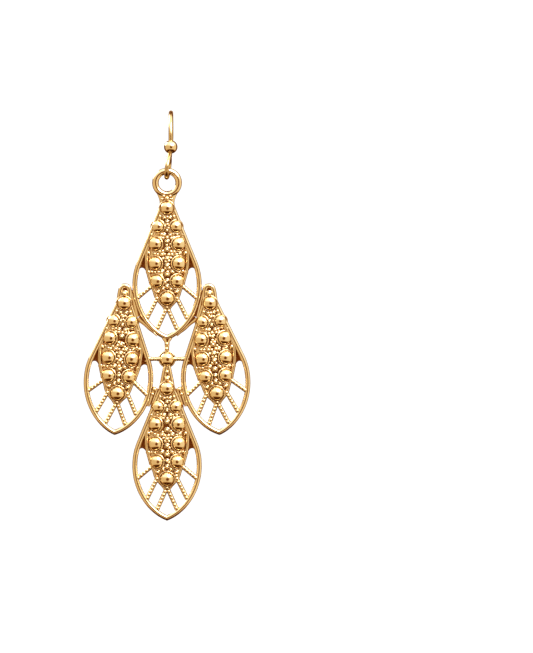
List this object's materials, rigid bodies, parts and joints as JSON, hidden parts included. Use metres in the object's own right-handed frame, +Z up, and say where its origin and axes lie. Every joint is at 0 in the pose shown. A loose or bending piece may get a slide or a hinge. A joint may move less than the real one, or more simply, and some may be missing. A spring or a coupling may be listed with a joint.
{
  "type": "chandelier earring",
  "caption": "Drop earring: a fish-hook ear wire with a bead carries a cast, openwork drop of pointed leaves studded with round domes, hanging free from a ring.",
  "frame": {"origin": "inside of the ear wire's arch, at its crown: the point that hangs in the ear", "axes": "+Z up along the hanging drop, -Y out of the drop's face, +X to the right as seen from in front"},
  "size_m": [0.0318, 0.0129, 0.078],
  "materials": {
    "wire_gold": "bright gold plate, drawn wire",
    "ball_gold": "mirror-polished gold plate",
    "drop_gold": "polished gold plate on a casting, darker in the crevices"
  },
  "bodies": {
    "hook": {"ear_hook": "wire_gold", "hook_ball": "ball_gold"},
    "drop": {"filigree_drop": "drop_gold"}
  },
  "joints": [
    {"name": "drop_swing", "type": "hinge", "parent": "hook", "child": "drop", "pos_m": [-0.0007, -0.00463, -0.01079], "axis": [1, 0, 0], "range_deg": [-90, 85]}
  ]
}
